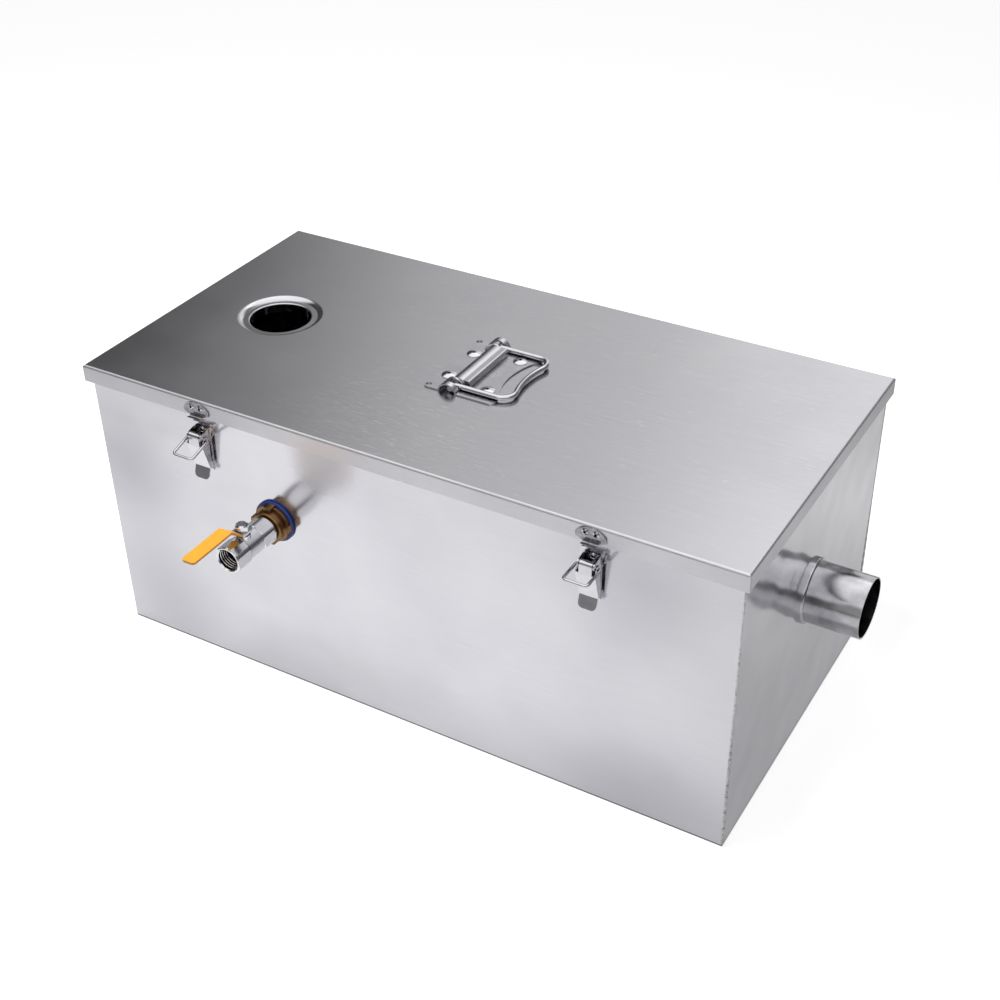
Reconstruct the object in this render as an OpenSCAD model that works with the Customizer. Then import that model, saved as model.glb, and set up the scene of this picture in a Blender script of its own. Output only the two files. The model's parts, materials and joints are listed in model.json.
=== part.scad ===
// Stainless-steel grease trap with a lift-off lid, a sunk top inlet, an end outlet and a drain valve.
// Frame: X runs along the trap with the outlet at +X, the front with the drain valve is -Y, Z is up.
// The origin is at the centre of the tank's floor, on its underside. All sizes are in millimetres.

/* [Tank] */
// Length of the tank, outside
tank_l = 592; // [520:1:800]
// Width of the tank, outside
tank_w = 296; // [240:1:420]
// Height of the tank up to its rim
tank_h = 263; // [250:1:360]
// Thickness of the sheet
sheet = 1; // [0.8:0.1:1.5]
// Outside radius of the two upright folds at the inlet end
fold_r = 3; // [2:0.5:6]
// Width of the in-turned rim
rim_w = 14; // [12:1:18]

/* [Lid] */
// Depth of the lid's skirt
skirt_h = 15; // [12:1:20]
// Gap between the skirt and the tank wall
skirt_gap = 3; // [2.5:0.5:6]
// Outside radius of the lid's folds
lid_fold_r = 2; // [1.6:0.2:3]
// Width of the open slit between two skirts at a corner
corner_slit = 0.5; // [0.3:0.1:1]
// Width of the gasket strip
gasket_w = 10; // [8:1:11]
// Thickness of the gasket under the closed lid
gasket_t = 3; // [2:0.5:5]
// Distance of the gasket from the tank's outside
gasket_setback = 1; // [0.5:0.5:3]

/* [Inlet] */
// Bore of the inlet
inlet_d = 54; // [40:1:60]
// Distance of the inlet's axis from the inlet end
inlet_setback = 88; // [60:0.5:100]
// Outside diameter of the inlet collar
collar_d = 75.5; // [70:0.5:90]
// Depth of the collar's ledge below the lid
collar_drop = 2.6; // [2:0.1:4]
// Depth of the collar's neck below its ledge
neck_h = 8; // [5:1:15]
// Thickness of the collar's metal
collar_t = 1; // [0.8:0.1:1.5]

/* [Outlet] */
// Outside diameter of the outlet pipe
pipe_d = 50.8; // [38:0.2:60]
// Wall of the outlet pipe
pipe_wall = 1.2; // [0.8:0.1:2]
// Length of the outlet pipe outside the tank
pipe_l = 48.5; // [30:0.5:90]
// Length of the outlet pipe inside the tank
pipe_inside = 8; // [4:1:20]
// Height of the outlet's axis
pipe_z = 151; // [120:1:190]
// Radius of the rolled collar at the pipe's root
pipe_bead = 2.2; // [1.5:0.1:3]

/* [Chambers] */
// Distance of the inlet baffle from the inlet end
inlet_baffle_setback = 156; // [140:1:160]
// Distance of the outlet baffle from the outlet end
outlet_baffle_setback = 96; // [60:1:150]
// Gap under the baffles
baffle_lift = 42; // [25:1:70]
// Distance of the baffles' top edge below the rim
baffle_drop = 24; // [15:1:40]
// Width of the baffles' folded edges
baffle_edge = 8; // [6:1:9]

/* [Strainer basket] */
// Depth of the basket
basket_h = 128; // [80:1:150]
// Height from the tank's rim down to the basket ledges
ledge_drop = 55; // [53:1:73]
// Width of a ledge
ledge_w = 15; // [12:1:20]
// Gap between the basket and the chamber's end walls
basket_gap = 13; // [12:1:20]
// Width of the basket's out-turned rim
basket_rim = 10; // [8:1:11]
// Diameter of the basket's holes
hole_d = 9; // [5:1:12]
// Pitch of the basket's holes
hole_pitch = 24; // [18:1:40]
// Width of the basket's lifting strap
strap_w = 14; // [8:1:25]
// Height of the strap above the basket's rim
strap_h = 20; // [15:1:22]

/* [Drain valve] */
// Distance of the valve's axis from the inlet end
valve_setback = 183; // [182:1:260]
// Height of the valve's axis
valve_z = 169.5; // [120:0.5:180]
// Diameter of the blue wall washer
washer_d = 38; // [36:1:46]
// Thickness of the wall washers
washer_t = 3; // [2:0.5:4]
// Outside diameter of the nipple's thread
nipple_d = 20.9; // [20.5:0.1:21.5]
// Diameter of the flow way through the valve
flow_d = 13; // [10:0.5:13.5]
// Diameter of the valve's threaded mouth
mouth_d = 18.6; // [18:0.1:19.5]
// Depth of the valve's threaded mouth
mouth_depth = 13; // [10:1:14]
// Width across the flats of the valve's barrel
valve_flats = 23; // [22.6:0.1:25]
// Diameter of the valve's ball
ball_d = 18.4; // [18:0.1:18.8]
// Diameter of the valve's stem
stem_d = 6; // [5:0.5:6]
// Radial clearance of the stem in its gland
stem_fit = 0.05; // [0.02:0.01:0.1]
// Reach of the lever from the stem
lever_reach = 66; // [50:1:90]
// Width of the lever
lever_w = 12.5; // [11:0.5:16]
// Thickness of the lever
lever_t = 2; // [1.5:0.5:3]
// Rise of the lever's grip above its hub
lever_rise = 11.5; // [10:0.5:22]

/* [Latches] */
// Distance of the latches from the ends of the tank
latch_setback = 117; // [110:1:200]
// Thickness of the latches' metal
latch_t = 1; // [0.8:0.1:1.2]
// Width of a latch lever
latch_w = 16.4; // [15:0.2:18]
// Diameter of the pivot pin
pin_d = 3; // [2.5:0.1:3.4]
// Radial clearance of the latch pivots
pivot_fit = 0.06; // [0.02:0.01:0.1]
// Diameter of the loop's wire
loop_wire = 2.5; // [2:0.1:2.6]
// Length of the loop from its pivot to its bar
loop_l = 22; // [21:0.5:22.5]
// Length of a latch lever below its pin
latch_l = 31; // [28:1:40]
// Angle at which the front left loop hangs below the level
loop_hang = 16; // [0:1:40]
// Side play between parts of a latch
side_play = 0.3; // [0.2:0.05:0.4]
// Width of the catch plate
catch_w = 25; // [22:1:32]
// Width of the catch's hook
hook_w = 12.5; // [10:0.5:14]

/* [Chest handle] */
// Place of the handle's bail pivot along the trap
handle_x = -6; // [-60:1:60]
// Width of the handle's plate, along the pivot
plate_w = 89; // [84:1:110]
// Reach of the plate in front of the pivot
plate_front = 41; // [40:1:44]
// Reach of the plate behind the pivot
plate_back = 25; // [24:1:35]
// Thickness of the plate
plate_t = 1.2; // [1:0.1:1.5]
// Distance between the bail's legs
bail_w = 72; // [70:1:74]
// Length of the bail from its pivot
bail_l = 50.5; // [48:0.5:56]
// Diameter of the bail's wire
bail_wire = 4.5; // [4:0.5:5]

/* [Hidden] */
$fn = 64;

// Colours of the finishes
brushed = "#b4b4b8";
bright = "#d0d0d4";
chrome = "#dcdce0";
brass = "#9a7642";
blue_rubber = "#2c489a";
black_rubber = "#26262a";
white_seat = "#e8e6e0";
lever_yellow = "#f0a82e";

// Overlap that lets a cut run clear of the face it cuts
past = 1;
// Gap left round a welded tube or a rivet's shank
weld_gap = 0.05;

// Places worked out from the driving sizes
inlet_end_x = -tank_l / 2;
outlet_end_x = tank_l / 2;
wall_x = outlet_end_x - sheet;
wall_y = tank_w / 2 - sheet;
lid_l = tank_l + 2 * (skirt_gap + sheet);
lid_w = tank_w + 2 * (skirt_gap + sheet);
lid_under = tank_h + gasket_t;
lid_top = lid_under + sheet;
skirt_z = lid_top - skirt_h;
inlet_x = inlet_end_x + inlet_setback;
inlet_baffle_x = inlet_end_x + inlet_baffle_setback;
outlet_baffle_x = outlet_end_x - outlet_baffle_setback;
valve_x = inlet_end_x + valve_setback;

// Basket plan, between the inlet end and the inlet baffle
chamber_x0 = inlet_end_x + sheet;
basket_x = (chamber_x0 + inlet_baffle_x) / 2;
basket_l = inlet_baffle_x - chamber_x0 - 2 * basket_gap;
basket_w = 2 * (wall_y - ledge_w - 2);
ledge_z = tank_h - ledge_drop;
basket_floor = ledge_z - basket_h;

// Stations along the valve's axis, counted outwards from the tank's front face
inner_washer_r = nipple_d / 2 + 6;
nut_end = washer_t + 10;
tail_start = nut_end + 1.5;
tail_hex = 15.5;
body_start = tail_start + tail_hex;
ball_at = body_start + 12;
seat_half = 7.5;
mouth_floor = ball_at + seat_half + 1.5;
mouth_at = mouth_floor + mouth_depth;
cavity_r = ball_d / 2 + 0.4;
boss_top = valve_flats / 2 + 1.5;
hub_under = boss_top + 1.6;
seat_face = 5.2;
gland_r = 4.3;
tang_w = 3;
tang_h = 2.2;

// Latch places: front left, front right, back left, back right
latch_x = [-1, 1, -1, 1] * (tank_l / 2 - latch_setback);
latch_side = [-1, -1, 1, 1];
catch_shank = 1.5;
catch_rivet_z = skirt_z + 9;
catch_rivet_half = 4.4;
base_rivet_r = 1.5;

// Latch pivots: distance out from the wall and height
pin_out = 9.7;
pin_z = skirt_z - 15.5;
loop_out = pin_out - 2.5;
loop_z = pin_z - 3.5;
cheek_in = latch_w / 2 - latch_t;
ear_out = cheek_in - side_play;
loop_half = latch_w / 2 + side_play + loop_wire / 2;
hook_top = loop_z + loop_l - loop_wire / 2 - 1.2;
lever_front = pin_out + 3;
lever_foot = 6.2;
plate_top_z = pin_z - 7;
lever_end_z = pin_z - latch_l;

// Chest handle stations
pivot_h = plate_t + bail_wire / 2 + 0.3;
ridge_x = handle_x - 2;
ridge_half = 9;
ridge_step = 3.5;
ridge_h = pivot_h + bail_wire / 2 + 0.9 + plate_t;
ridge_r = (ridge_half * ridge_half + ridge_h * ridge_h) / (2 * ridge_h);
ridge_sink = ridge_r - ridge_h;
leg_y = bail_w / 2;
bail_slot = bail_wire / 2 + 1;
rivet_r = 6.2;
handle_shank = 1.9;
shoulder = 14;

// Grip of the bail: two corner bends and a waist between them, which meet where the slope is 7 in 24
grip_half = 25.2;
corner_r = leg_y - grip_half;
waist_r = grip_half * 25 / 7 - corner_r;
corner_x = bail_l - corner_r;

// Plan outline of the tank, inset from its outside, square at the outlet end
module tank_plan(inset, x_end) {
  x0 = inlet_end_x + inset;
  y1 = tank_w / 2 - inset;
  r = max(fold_r - inset, 0.5);
  translate([x0 + r, -y1]) square([x_end - x0 - r, 2 * y1]);
  translate([x0, r - y1]) square([2 * r, 2 * (y1 - r)]);
  for (s = [-1, 1]) translate([x0 + r, s * (y1 - r)]) circle(r = r);
}

// Strip of the tank's outline, as wide as the sheet or the rim, open at the outlet end
module tank_band(width) {
  difference() {
    tank_plan(0, wall_x);
    tank_plan(width, wall_x + past);
  }
}

// Upright section with its two top corners rounded
module folded_section(w, h, r) {
  translate([-w / 2, 0]) square([w, h - r]);
  translate([r - w / 2, 0]) square([w - 2 * r, h]);
  for (s = [-1, 1]) translate([s * (w / 2 - r), h - r]) circle(r = r);
}

// Block with its four top edges rounded
module folded_block(l, w, h, r) {
  intersection() {
    rotate([90, 0, 90]) linear_extrude(l, center = true) folded_section(w, h, r);
    rotate([90, 0, 0]) linear_extrude(w, center = true) folded_section(l, h, r);
  }
}

// Rectangle with round corners
module round_rect(size, r) {
  square([size[0] - 2 * r, size[1]], center = true);
  square([size[0], size[1] - 2 * r], center = true);
  for (sx = [-1, 1], sy = [-1, 1])
    translate([sx * (size[0] / 2 - r), sy * (size[1] / 2 - r)]) circle(r = r);
}

// Heading of a run, turn at a point, and length that a bend takes from each run beside it
function heading(a, b) = atan2(b[1] - a[1], b[0] - a[0]);
function wrap_turn(d) = d > 180 ? d - 360 : (d < -180 ? d + 360 : d);
function turn_at(path, i) = wrap_turn(heading(path[i], path[i + 1]) - heading(path[i - 1], path[i]));
function bend_cut(path, bends, i) =
  i == 0 || i == len(path) - 1 ? 0 : bends[i - 1] * tan(abs(turn_at(path, i)) / 2);

// Round wire along a flat path: straight runs joined by true arcs
module bent_wire(path, bends, r) {
  last = len(path) - 1;
  for (i = [0 : last - 1]) {
    from = bend_cut(path, bends, i);
    to = bend_cut(path, bends, i + 1);
    translate([path[i][0], path[i][1], 0])
      rotate([0, 0, heading(path[i], path[i + 1])])
        translate([from, 0, 0])
          rotate([0, 90, 0]) cylinder(r = r, h = norm(path[i + 1] - path[i]) - from - to);
  }
  for (i = [1 : last - 1]) {
    t = turn_at(path, i);
    bend = bends[i - 1];
    translate([path[i][0], path[i][1], 0])
      rotate([0, 0, heading(path[i - 1], path[i])])
        translate([-bend_cut(path, bends, i), sign(t) * bend, 0])
          rotate([0, 0, t > 0 ? -90 : 90 + t])
            rotate_extrude(angle = abs(t)) translate([bend, 0]) circle(r = r);
  }
}

// Dome-headed hollow rivet along Z: head above z = 0, shank through the grip, tail below
module rivet(head_r, head_h, shank_r, grip, tail_h) {
  rise = head_h * 0.8;
  dome_r = (head_r * head_r + rise * rise) / (2 * rise);
  difference() {
    union() {
      intersection() {
        cylinder(r = head_r, h = head_h);
        translate([0, 0, head_h - dome_r]) sphere(r = dome_r);
      }
      translate([0, 0, -grip]) cylinder(r = shank_r, h = grip);
      translate([0, 0, -grip - tail_h]) cylinder(r = shank_r * 1.35, h = tail_h);
    }
    translate([0, 0, -grip * 0.6]) cylinder(r = shank_r * 0.8, h = grip + head_h);
  }
}

// Tank

module tank_wrap() {
  color(brushed) difference() {
    union() {
      translate([0, 0, sheet]) linear_extrude(tank_h - sheet) tank_band(sheet);
      translate([0, 0, tank_h - sheet]) linear_extrude(sheet) tank_band(rim_w);
    }
    on_valve() translate([0, 0, -sheet - past]) cylinder(d = nipple_d + 0.4, h = sheet + 2 * past);
    for (i = [0 : 3]) on_latch(i) base_rivet_places() {
      translate([0, 0, -sheet - past]) cylinder(r = base_rivet_r + weld_gap, h = sheet + 2 * past);
    }
  }
}

module tank_floor() {
  color(brushed) linear_extrude(sheet) tank_plan(0, outlet_end_x);
}

module outlet_end() {
  color(brushed) difference() {
    union() {
      translate([wall_x, -tank_w / 2, sheet]) cube([sheet, tank_w, tank_h - sheet]);
      translate([outlet_end_x - rim_w, rim_w - tank_w / 2, tank_h - sheet])
        cube([rim_w, tank_w - 2 * rim_w, sheet]);
    }
    translate([wall_x - past, 0, pipe_z]) rotate([0, 90, 0])
      cylinder(d = pipe_d + 2 * weld_gap, h = sheet + 2 * past);
  }
}

module outlet_pipe() {
  color(bright) translate([outlet_end_x, 0, pipe_z]) rotate([0, 90, 0]) rotate_extrude() {
    translate([pipe_d / 2 - pipe_wall, -sheet - pipe_inside])
      square([pipe_wall, pipe_l + sheet + pipe_inside]);
    translate([pipe_d / 2 - pipe_wall / 2, 0]) square([pipe_wall / 2 + pipe_bead, pipe_bead]);
    translate([pipe_d / 2, pipe_bead]) circle(r = pipe_bead - 0.01);
  }
}

// Chambers

// Partition folded along its sides and top, standing clear of the floor; its folds turn towards side
module baffle(x, side) {
  z0 = sheet + baffle_lift;
  z1 = tank_h - baffle_drop;
  edge_x = side > 0 ? x : x + sheet - baffle_edge;
  translate([x, -wall_y, z0]) cube([sheet, 2 * wall_y, z1 - z0]);
  translate([edge_x, -wall_y, z1 - sheet]) cube([baffle_edge, 2 * wall_y, sheet]);
  for (y = [-wall_y, wall_y - sheet]) translate([edge_x, y, z0]) cube([baffle_edge, sheet, z1 - z0]);
}

module inlet_baffle() {
  color(brushed) baffle(inlet_baffle_x, 1);
}

module outlet_baffle() {
  color(brushed) baffle(outlet_baffle_x, -1);
}

module basket_ledges() {
  color(brushed) for (s = [0, 1]) translate([basket_x, 0, 0]) rotate([0, 0, 180 * s]) {
    translate([-basket_l / 2, -wall_y, ledge_z - sheet]) cube([basket_l, ledge_w, sheet]);
    translate([-basket_l / 2, -wall_y, ledge_z - ledge_w]) cube([basket_l, sheet, ledge_w]);
  }
}

// Centred row of places along a length, a pitch apart
function row(length, pitch) =
  let (n = floor((length - pitch) / pitch)) [for (i = [0 : n]) (i - n / 2) * pitch];

module strainer_basket() {
  wall_h = basket_h - hole_pitch / 2;
  mid_z = basket_floor + basket_h / 2;
  color(bright) translate([basket_x, 0, 0]) difference() {
    union() {
      translate([0, 0, basket_floor]) linear_extrude(basket_h) round_rect([basket_l, basket_w], fold_r);
      translate([0, 0, ledge_z]) linear_extrude(sheet)
        round_rect([basket_l + 2 * basket_rim, basket_w + 2 * basket_rim], fold_r);
    }
    translate([0, 0, basket_floor + sheet]) linear_extrude(basket_h + past)
      round_rect([basket_l - 2 * sheet, basket_w - 2 * sheet], fold_r - sheet);
    for (y = row(basket_w, hole_pitch), z = row(wall_h, hole_pitch))
      translate([0, y, mid_z + z]) rotate([0, 90, 0])
        cylinder(d = hole_d, h = basket_l + 2 * past, center = true, $fn = 24);
    for (x = row(basket_l, hole_pitch), z = row(wall_h, hole_pitch))
      translate([x, 0, mid_z + z]) rotate([90, 0, 0])
        cylinder(d = hole_d, h = basket_w + 2 * past, center = true, $fn = 24);
    for (x = row(basket_l, hole_pitch), y = row(basket_w, hole_pitch))
      translate([x, y, basket_floor - past]) cylinder(d = hole_d, h = sheet + 2 * past, $fn = 24);
  }
}

module basket_strap() {
  inside = basket_l - 2 * sheet;
  leg = 30;
  corner = 12;
  color(bright) translate([basket_x, 0, ledge_z - leg]) rotate([90, 0, 0])
    linear_extrude(strap_w, center = true) difference() {
      folded_section(inside, leg + strap_h, corner);
      translate([0, -past])
        folded_section(inside - 2 * sheet, leg + strap_h - sheet + past, corner - sheet);
    }
}

// Drain valve

// Valve frame: Z runs out of the wall along the valve's axis, Y is up
module on_valve() {
  translate([valve_x, -tank_w / 2, valve_z]) rotate([90, 0, 0]) children();
}

// Stem frame: Z runs up the stem from the valve's axis
module on_stem() {
  on_valve() translate([0, 0, ball_at]) rotate([-90, 0, 0]) children();
}

module ring(r_in, r_out, z0, z1) {
  translate([0, 0, z0]) difference() {
    cylinder(r = r_out, h = z1 - z0);
    translate([0, 0, -past]) cylinder(r = r_in, h = z1 - z0 + 2 * past);
  }
}

module nipple() {
  flange = 4;
  inner_face = -sheet - washer_t;
  color(brass) on_valve() difference() {
    union() {
      translate([0, 0, inner_face]) cylinder(d = nipple_d, h = tail_start + 12 - inner_face);
      translate([0, 0, inner_face - flange]) cylinder(r = inner_washer_r - 1, h = flange);
    }
    translate([0, 0, inner_face - flange - past]) cylinder(d = flow_d + 2, h = body_start + 40);
  }
}

module inner_washer() {
  color(black_rubber) on_valve() ring(nipple_d / 2 + weld_gap, inner_washer_r, -sheet - washer_t, -sheet);
}

module wall_washer() {
  lip = washer_t / 2;
  color(blue_rubber) on_valve() difference() {
    rotate_extrude() {
      square([washer_d / 2 - lip, washer_t]);
      translate([washer_d / 2 - lip, lip]) circle(r = lip - 0.01);
    }
    translate([0, 0, -past]) cylinder(d = nipple_d + 2 * weld_gap, h = washer_t + 2 * past);
  }
}

module locknut() {
  flange_r = washer_d / 2 - 2.4;
  hub_r = flange_r - 2.6;
  lug = 7;
  color(brass) on_valve() difference() {
    union() {
      translate([0, 0, washer_t]) cylinder(r = flange_r, h = 3);
      translate([0, 0, washer_t]) cylinder(r = hub_r, h = nut_end - washer_t - 1);
      translate([0, 0, nut_end - 1]) cylinder(r1 = hub_r, r2 = hub_r - 1, h = 1);
      intersection() {
        translate([0, 0, washer_t]) cylinder(r = flange_r + 1.4, h = 7);
        for (a = [0, 90]) rotate([0, 0, a])
          translate([0, 0, washer_t + 3.5]) cube([2 * washer_d, lug, 7], center = true);
      }
    }
    translate([0, 0, -past]) cylinder(d = nipple_d + 2 * weld_gap, h = nut_end + 2 * past);
  }
}

// Six-sided barrel with its corners turned down
module hex_barrel(z0, z1) {
  translate([0, 0, z0]) intersection() {
    rotate([0, 0, 30]) cylinder(d = valve_flats / cos(30), h = z1 - z0, $fn = 6);
    rotate_extrude() {
      r = valve_flats / 2 + 0.9;
      chamfer = 1.2;
      polygon([[0, 0], [r - chamfer, 0], [r, chamfer], [r, z1 - z0 - chamfer], [r - chamfer, z1 - z0],
        [0, z1 - z0]]);
    }
  }
}

module valve_tail() {
  color(chrome) on_valve() difference() {
    union() {
      hex_barrel(tail_start, body_start);
      translate([0, 0, body_start - past])
        cylinder(r = cavity_r - weld_gap, h = ball_at - seat_half - body_start + past);
    }
    translate([0, 0, tail_start - past]) cylinder(d = nipple_d + 2 * weld_gap, h = 12.5 + past);
    translate([0, 0, tail_start]) cylinder(d = flow_d, h = 60);
  }
}

module valve_body() {
  waist_end = mouth_floor - 4;
  boss_r = 6.4;
  color(chrome) difference() {
    union() {
      on_valve() translate([0, 0, body_start]) cylinder(r = valve_flats / 2, h = waist_end - body_start);
      on_valve() hex_barrel(waist_end, mouth_at);
      on_stem() cylinder(r = boss_r, h = boss_top);
    }
    on_valve() translate([0, 0, body_start - past])
      cylinder(r = cavity_r, h = ball_at + seat_half - body_start + past);
    on_valve() translate([0, 0, ball_at]) cylinder(d = flow_d, h = mouth_at - ball_at);
    on_valve() translate([0, 0, mouth_floor]) cylinder(d = mouth_d, h = mouth_depth + past);
    on_valve() translate([0, 0, mouth_at - 1]) cylinder(d1 = mouth_d, d2 = mouth_d + 2.4, h = 1.2);
    on_stem() cylinder(r = gland_r, h = boss_top + past);
  }
}

module ball_seats() {
  color(white_seat) on_valve() translate([0, 0, ball_at])
    for (a = [0, 180]) rotate([a, 0, 0]) difference() {
      ring(flow_d / 2 + 0.1, cavity_r - weld_gap, seat_face, seat_half);
      sphere(d = ball_d + 0.4);
    }
}

module gland_nut() {
  color(chrome) on_stem() {
    difference() {
      union() {
        translate([0, 0, cavity_r + 1.4]) cylinder(r = gland_r - weld_gap, h = boss_top - cavity_r - 1.4);
        translate([0, 0, boss_top]) cylinder(d = 10 / cos(30), h = 1.2, $fn = 6);
      }
      cylinder(d = stem_d + 2 * stem_fit, h = boss_top + 2);
    }
  }
}

module valve_ball() {
  color(chrome) difference() {
    on_stem() sphere(d = ball_d);
    on_valve() cylinder(d = flow_d, h = 80);
    on_stem() translate([0, 0, ball_d / 2]) cube([tang_w + 0.1, ball_d, 2 * tang_h], center = true);
  }
}

module valve_stem() {
  tang_z = ball_d / 2 - tang_h;
  color(chrome) on_stem() {
    intersection() {
      translate([-tang_w / 2, -stem_d / 2, tang_z]) cube([tang_w, stem_d, tang_h + 1]);
      cylinder(d = stem_d, h = ball_d);
    }
    translate([0, 0, ball_d / 2 + 0.3]) cylinder(r = gland_r - 0.3, h = 1.2);
    translate([0, 0, ball_d / 2 + 0.3]) cylinder(d = stem_d, h = hub_under + lever_t + 5.5 - ball_d / 2);
  }
}

module valve_lever() {
  hub_r = lever_w / 2;
  ramp = 14;
  rise = lever_rise;
  tip_r = 3;
  color(lever_yellow) on_stem() difference() {
    intersection() {
      rotate([90, 0, 90]) linear_extrude(lever_w, center = true) polygon([
        [hub_r, hub_under], [-6, hub_under], [-6 - ramp, hub_under + rise],
        [-lever_reach, hub_under + rise], [-lever_reach, hub_under + rise + lever_t],
        [-5.2 - ramp, hub_under + rise + lever_t],
        [-5.2, hub_under + lever_t], [hub_r, hub_under + lever_t]]);
      translate([0, -lever_reach / 2 + hub_r / 2, 0]) linear_extrude(200)
        round_rect([lever_w, lever_reach + hub_r], tip_r);
    }
    cylinder(d = stem_d + 2 * weld_gap, h = 200);
  }
}

module lever_nut() {
  z0 = hub_under + lever_t;
  color(chrome) on_stem() difference() {
    union() {
      translate([0, 0, z0]) cylinder(d = 10 / cos(30), h = 4.5, $fn = 6);
      translate([0, 0, z0 + 4.5]) cylinder(r1 = 4.8, r2 = 3.8, h = 1.6);
    }
    cylinder(d = stem_d + 2 * weld_gap, h = 200);
  }
}

// Lid

module lid_pan() {
  color(brushed) difference() {
    translate([0, 0, skirt_z]) difference() {
      folded_block(lid_l, lid_w, skirt_h, lid_fold_r);
      translate([0, 0, -past])
        folded_block(lid_l - 2 * sheet, lid_w - 2 * sheet, skirt_h - sheet + past, lid_fold_r - sheet);
    }
    for (sx = [-1, 1], sy = [-1, 1])
      translate([sx * (lid_l / 2 - sheet / 2), sy * (lid_w / 2 - sheet - corner_slit / 2), skirt_z])
        cube([sheet + past, corner_slit, 2 * (skirt_h - lid_fold_r - 1)], center = true);
    translate([inlet_x, 0, lid_under - past]) cylinder(r = collar_d / 2 + weld_gap, h = sheet + 2 * past);
    handle_rivet_places() cylinder(r = handle_shank + weld_gap, h = 8, center = true);
    for (i = [0 : 3]) on_catch(i) catch_rivet_places()
      cylinder(r = catch_shank + weld_gap, h = 8, center = true);
  }
}

// Dish pressed down from the lid's face: a rounded brim, a flat ring and a neck turned down round the hole
module inlet_collar() {
  bore = inlet_d / 2;
  brim_w = 5;
  brim_r = (brim_w * brim_w + collar_drop * collar_drop) / (2 * collar_drop);
  ring_r = collar_d / 2 - brim_w;
  color(bright) translate([inlet_x, 0, lid_top]) rotate_extrude() {
    translate([collar_d / 2, -brim_r]) intersection() {
      difference() {
        circle(r = brim_r);
        circle(r = brim_r - collar_t);
      }
      translate([-brim_w, 0]) square([brim_w, brim_r]);
    }
    translate([bore + collar_t, -collar_drop - collar_t]) {
      square([ring_r - bore - collar_t + 0.5, collar_t]);
      circle(r = collar_t);
    }
    translate([bore, -collar_drop - neck_h]) square([collar_t, neck_h - collar_t]);
  }
}

module lid_gasket() {
  l = tank_l - 2 * gasket_setback;
  w = tank_w - 2 * gasket_setback;
  color(black_rubber) translate([0, 0, tank_h]) linear_extrude(gasket_t) difference() {
    square([l, w], center = true);
    square([l - 2 * gasket_w, w - 2 * gasket_w], center = true);
  }
}

// Chest handle

module handle_rivet_places() {
  for (sy = [-1, 1]) {
    translate([handle_x - 14.6, sy * plate_w * 0.225, lid_top + plate_t]) children();
    translate([handle_x + 26, sy * (leg_y - bail_wire / 2 - rivet_r - 0.4), lid_top + plate_t]) children();
  }
}

// Arch over a pivot, inset by the plate for its inside
module knuckle_section(inset) {
  intersection() {
    translate([0, -ridge_sink]) circle(r = ridge_r - inset);
    translate([-ridge_half, 0]) square([2 * ridge_half, ridge_h]);
  }
}

// Ridge between the knuckles: its back stands a step in from theirs, its front is a square shoulder
module ridge_section(inset) {
  top = ridge_h - inset;
  corner = top * 0.3;
  front = shoulder - inset;
  translate([ridge_step, 0]) knuckle_section(inset);
  square([front, top - corner - 1]);
  square([front - corner, top - 1]);
  translate([front - corner, top - 1 - corner]) circle(r = corner);
}

module handle_plate() {
  mid_l = bail_w - 2 * bail_slot - 4;
  knuckle_l = (plate_w - mid_l) / 2;
  front_x = handle_x + plate_front;
  scoop_r = 70;
  scoop = 10;
  spare_hole = 2.6;
  hollow = sqrt(pow(ridge_r - plate_t, 2) - ridge_sink * ridge_sink);
  color(bright) translate([0, 0, lid_top]) difference() {
    union() {
      linear_extrude(plate_t) difference() {
        translate([handle_x + (plate_front - plate_back) / 2, 0])
          round_rect([plate_front + plate_back, plate_w], 4);
        translate([front_x - scoop + scoop_r, 0]) circle(r = scoop_r);
        for (s = [-1, 1])
          translate([handle_x - plate_back + 3.4, s * (plate_w / 2 - 4.2)]) circle(r = spare_hole);
      }
      translate([ridge_x, 0, 0]) rotate([90, 0, 0]) {
        linear_extrude(mid_l, center = true) ridge_section(0);
        for (s = [-1, 1]) translate([0, 0, s * (mid_l + knuckle_l) / 2])
          linear_extrude(knuckle_l, center = true) knuckle_section(0);
      }
    }
    translate([ridge_x, 0, -past]) rotate([90, 0, 0]) {
      linear_extrude(mid_l - 2 * plate_t, center = true) {
        translate([0, past]) ridge_section(plate_t);
        translate([ridge_step - hollow, 0]) square([shoulder - plate_t + hollow - ridge_step, past + 0.01]);
      }
      for (s = [-1, 1]) translate([0, 0, s * (mid_l / 2 + plate_t + knuckle_l / 2)])
        linear_extrude(knuckle_l, center = true) {
          translate([0, past]) knuckle_section(plate_t);
          translate([-hollow, 0]) square([2 * hollow, past + 0.01]);
        }
    }
    for (s = [-1, 1])
      translate([handle_x - bail_slot, s * leg_y - bail_slot, plate_t]) cube([40, 2 * bail_slot, 20]);
    translate([0, 0, -lid_top]) handle_rivet_places()
      cylinder(r = handle_shank + weld_gap, h = 8, center = true);
  }
}

module handle_rivets() {
  color(bright) handle_rivet_places() rivet(rivet_r, 1.8, handle_shank, plate_t + sheet, 1.5);
}

// Full ring of the bail's wire about a centre
module wire_ring(x, y, r) {
  translate([x, y, 0]) rotate_extrude() translate([r, 0]) circle(d = bail_wire);
}

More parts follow.
